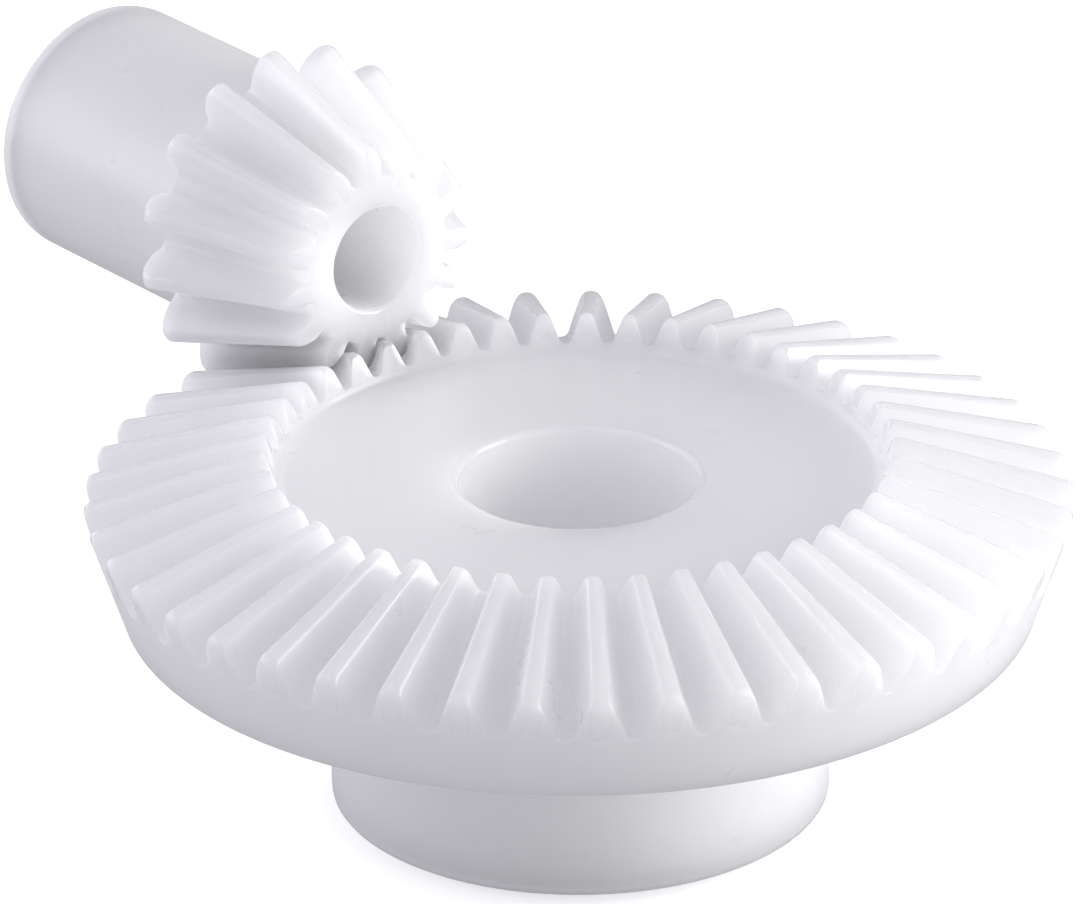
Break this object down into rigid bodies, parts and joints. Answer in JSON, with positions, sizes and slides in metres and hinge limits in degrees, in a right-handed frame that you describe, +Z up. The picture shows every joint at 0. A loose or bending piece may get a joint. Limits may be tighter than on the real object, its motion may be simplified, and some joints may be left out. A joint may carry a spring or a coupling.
{
  "type": "straight bevel gear pair",
  "caption": "Moulded plastic straight bevel wheel and pinion meshing at right angles, with the shim rings their hubs bear on.",
  "frame": {"origin": "centre of the wheel's bore at the back face of its hub", "axes": "+Z up the wheel's axis from its hub to its toothed side, -X from the wheel's axis out along the pinion's axis, +Y to complete a right-handed frame; the two axes cross at the pitch apex, 43.5 mm up +Z"},
  "size_m": [0.1183, 0.0907, 0.0611],
  "materials": {
    "wheel_plastic": "satin natural acetal",
    "pinion_plastic": "satin natural acetal",
    "shim_steel": "rolled steel"
  },
  "bodies": {
    "bearing_shims": {"wheel_shim_ring": "shim_steel", "pinion_shim_ring": "shim_steel"},
    "wheel": {"bevel_wheel": "wheel_plastic"},
    "pinion": {"bevel_pinion": "pinion_plastic"}
  },
  "joints": [
    {"name": "wheel_spin", "type": "hinge", "parent": "bearing_shims", "child": "wheel", "pos_m": [0, 0, 0], "axis": [0, 0, 1], "continuous": true},
    {"name": "pinion_spin", "type": "hinge", "parent": "bearing_shims", "child": "pinion", "pos_m": [-0.072, 0, 0.0435], "axis": [-1, 0, 0], "continuous": true}
  ],
  "couplings": [
    {"joint": "pinion_spin", "follows": "wheel_spin", "ratio": 3}
  ]
}
